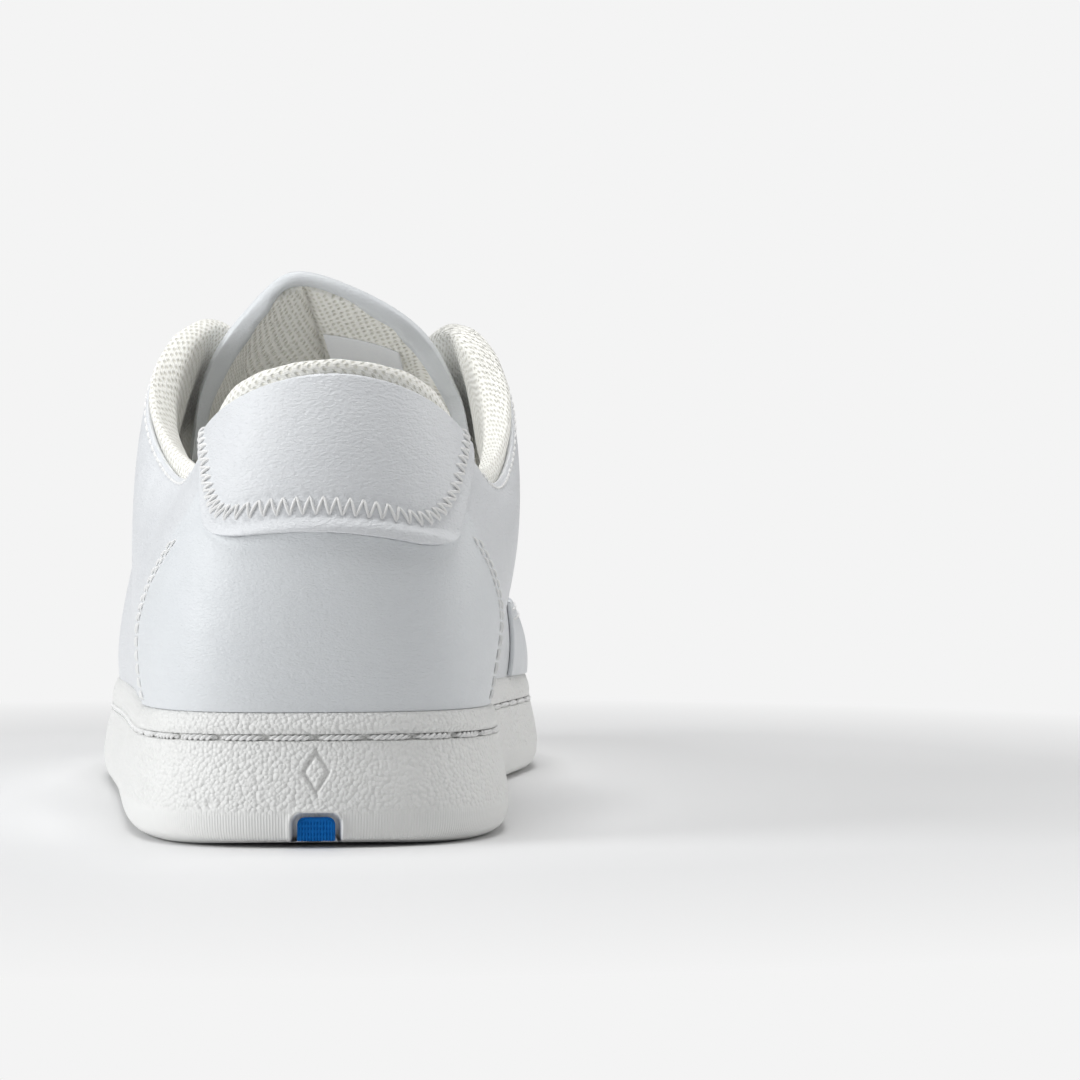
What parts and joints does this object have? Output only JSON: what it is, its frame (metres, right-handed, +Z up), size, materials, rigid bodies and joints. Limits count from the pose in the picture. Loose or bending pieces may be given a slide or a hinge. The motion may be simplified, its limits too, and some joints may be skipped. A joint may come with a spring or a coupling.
{
  "type": "court shoe",
  "caption": "Low-cut lace-up court shoe with a padded collar, padded tongue, stitched rubber cupsole and removable sockliner.",
  "frame": {"origin": "middle of the footprint's bounding box, on the ground", "axes": "+Y from heel to toe, +X to the medial side, +Z up"},
  "size_m": [0.109, 0.2961, 0.1234],
  "materials": {
    "rubber_white": "matte, fine pebble grain",
    "plug_blue": "satin blue with fine upright ribs",
    "thread_white": "twisted thread",
    "foam": "closed-cell and open-cell foam",
    "shank_plastic": "moulded",
    "board": "stitched fibre board",
    "sockliner_textile": "knitted cover on foam",
    "leather_white": "smooth coated leather",
    "overlay_leather": "smooth coated leather",
    "lining_mesh": "spacer mesh with small holes",
    "stiffener": "thermoplastic sheet",
    "label_grey": "heat-pressed patch",
    "lace_textile": "flat woven band",
    "aglet_plastic": "clear heat-shrunk sleeve"
  },
  "bodies": {
    "shoe": {"cupsole": "rubber_white", "heel_plug": "plug_blue", "sidewall_stitching": "thread_white", "midsole_foam": "foam", "midfoot_shank": "shank_plastic", "strobel_board": "board", "sockliner_forefoot": "sockliner_textile", "quarter_medial": "leather_white", "quarter_lateral": "leather_white", "vamp": "leather_white", "vamp_lining": "lining_mesh", "eyestay": "overlay_leather", "toe_overlay": "overlay_leather", "heel_panel": "overlay_leather", "heel_tab": "overlay_leather", "heel_tab_stitching": "thread_white", "heel_counter": "stiffener", "toe_puff": "stiffener", "collar_lining": "lining_mesh", "collar_foam": "foam", "lace": "lace_textile", "aglets": "aglet_plastic"},
    "tongue": {"tongue_shell": "leather_white", "tongue_foam": "foam", "tongue_lining": "lining_mesh", "tongue_label": "label_grey"},
    "sockliner_flap": {"sockliner_heel": "sockliner_textile"}
  },
  "joints": [
    {"name": "tongue_bend", "type": "hinge", "parent": "shoe", "child": "tongue", "pos_m": [0, 0.074, 0.056], "axis": [1, 0, 0], "range_deg": [0, 8], "stiffness_Nm_per_rad": 0.3, "springref_deg": -4.58},
    {"name": "sockliner_peel", "type": "hinge", "parent": "shoe", "child": "sockliner_flap", "pos_m": [0, 0.002, 0.01795], "axis": [-1, 0, 0], "range_deg": [0, 10]}
  ]
}
